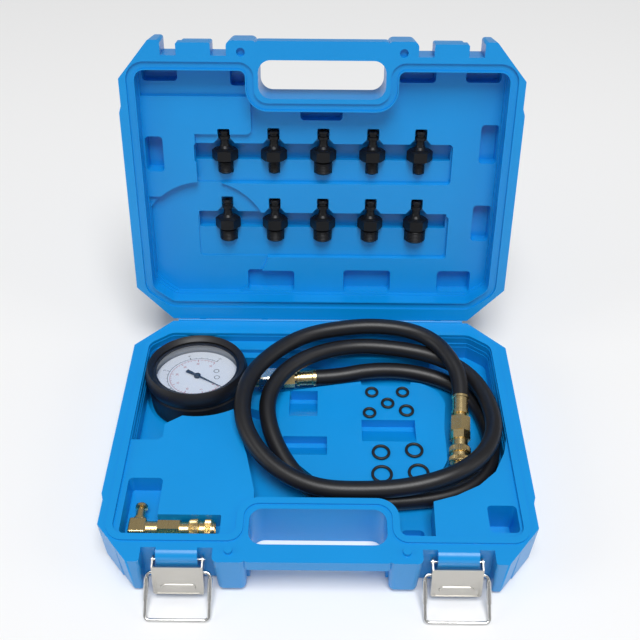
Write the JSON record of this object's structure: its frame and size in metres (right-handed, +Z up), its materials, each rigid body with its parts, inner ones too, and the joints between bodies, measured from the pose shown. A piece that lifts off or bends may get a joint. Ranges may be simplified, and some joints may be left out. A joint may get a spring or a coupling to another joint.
{
  "type": "engine oil pressure tester kit",
  "caption": "Oil pressure gauge in a rubber boot with a coiled hose, snap couplers, threaded adapters and sealing rings in an open moulded carrying case.",
  "frame": {"origin": "centre of the case base's underside, midway between its sides and halfway from front to back", "axes": "+X to the right as one faces the latches, +Y back to the hinge, +Z up from the table"},
  "size_m": [0.29, 0.3231, 0.2492],
  "materials": {
    "case": "moulded, slightly glossy",
    "hinge": "moulded",
    "stainless": "brushed",
    "wire": "bright drawn wire",
    "rubber": "satin black",
    "hose": "satin black",
    "gauge_cup": "pale lacquer, light inside wall",
    "gauge_steel": "dark",
    "glass": "clear",
    "dial": "white enamel",
    "pointer": "black enamel",
    "brass": "machined",
    "nickel": "plated",
    "black_oxide": "black oxide"
  },
  "bodies": {
    "base": {"case_base": "case", "case_hinge": "hinge", "latch_pin_left": "wire", "latch_pin_right": "wire", "gauge_boot": "rubber", "gauge_case": "gauge_cup", "gauge_bezel": "gauge_steel", "gauge_lens": "glass", "gauge_dial": "dial", "gauge_movement": "brass", "gauge_socket": "brass", "bourdon_tube": "brass", "gauge_adapter": "nickel", "hose_nut": "brass", "hose_ferrule": "brass", "hose": "hose", "coupler_ferrule": "brass", "coupler_body": "brass", "coupler_nut": "brass", "coupler_socket": "brass", "elbow_body": "brass", "elbow_nipple": "brass", "elbow_nut": "brass", "elbow_coupler": "brass", "o_ring_small_1": "rubber", "o_ring_small_2": "rubber", "o_ring_small_3": "rubber", "o_ring_small_4": "rubber", "o_ring_small_5": "rubber", "o_ring_medium_1": "rubber", "o_ring_medium_2": "rubber", "o_ring_large_1": "rubber", "o_ring_large_2": "rubber"},
    "lid": {"case_lid": "case", "adapter_1": "black_oxide", "adapter_2": "black_oxide", "adapter_3": "black_oxide", "adapter_4": "black_oxide", "adapter_5": "black_oxide", "adapter_6": "black_oxide", "adapter_7": "black_oxide", "adapter_8": "black_oxide", "adapter_9": "black_oxide", "adapter_10": "black_oxide"},
    "lever_left": {"latch_lever_left": "stainless"},
    "lever_right": {"latch_lever_right": "stainless"},
    "bail_left": {"latch_bail_left": "wire"},
    "bail_right": {"latch_bail_right": "wire"},
    "pointer": {"gauge_pointer": "pointer"},
    "coupler_release": {"coupler_sleeve": "brass"},
    "elbow_release": {"elbow_sleeve": "brass"}
  },
  "joints": [
    {"name": "lid_hinge", "type": "hinge", "parent": "base", "child": "lid", "pos_m": [0, 0.10875, 0.038], "axis": [-1, 0, 0], "range_deg": [-105.26, 0], "deforming": ["hose"]},
    {"name": "latch_lever_left", "type": "hinge", "parent": "base", "child": "lever_left", "pos_m": [-0.0897, -0.10225, 0.0278], "axis": [-1, 0, 0], "range_deg": [-16, 35]},
    {"name": "latch_bail_left", "type": "hinge", "parent": "lever_left", "child": "bail_left", "pos_m": [-0.0897, -0.10631, 0.01908], "axis": [1, 0, 0], "range_deg": [-133.19, 45]},
    {"name": "latch_lever_right", "type": "hinge", "parent": "base", "child": "lever_right", "pos_m": [0.0897, -0.10225, 0.0278], "axis": [-1, 0, 0], "range_deg": [-16, 35]},
    {"name": "latch_bail_right", "type": "hinge", "parent": "lever_right", "child": "bail_right", "pos_m": [0.0897, -0.10631, 0.01908], "axis": [1, 0, 0], "range_deg": [-133.19, 45]},
    {"name": "gauge_pointer", "type": "hinge", "parent": "base", "child": "pointer", "pos_m": [-0.0937, 0.05485, 0.0366], "axis": [0, -0.1564, -0.9877], "range_deg": [0, 270], "stiffness_Nm_per_rad": 0.0002},
    {"name": "coupler_release", "type": "slide", "parent": "base", "child": "coupler_release", "axis": [0.0793, 0.9645, 0.2521], "range_m": [0, 0.003], "stiffness_N_per_m": 1200, "springref_m": -0.002},
    {"name": "elbow_release", "type": "slide", "parent": "base", "child": "elbow_release", "axis": [-1, 0, 0], "range_m": [0, 0.003], "stiffness_N_per_m": 1200, "springref_m": -0.002}
  ]
}
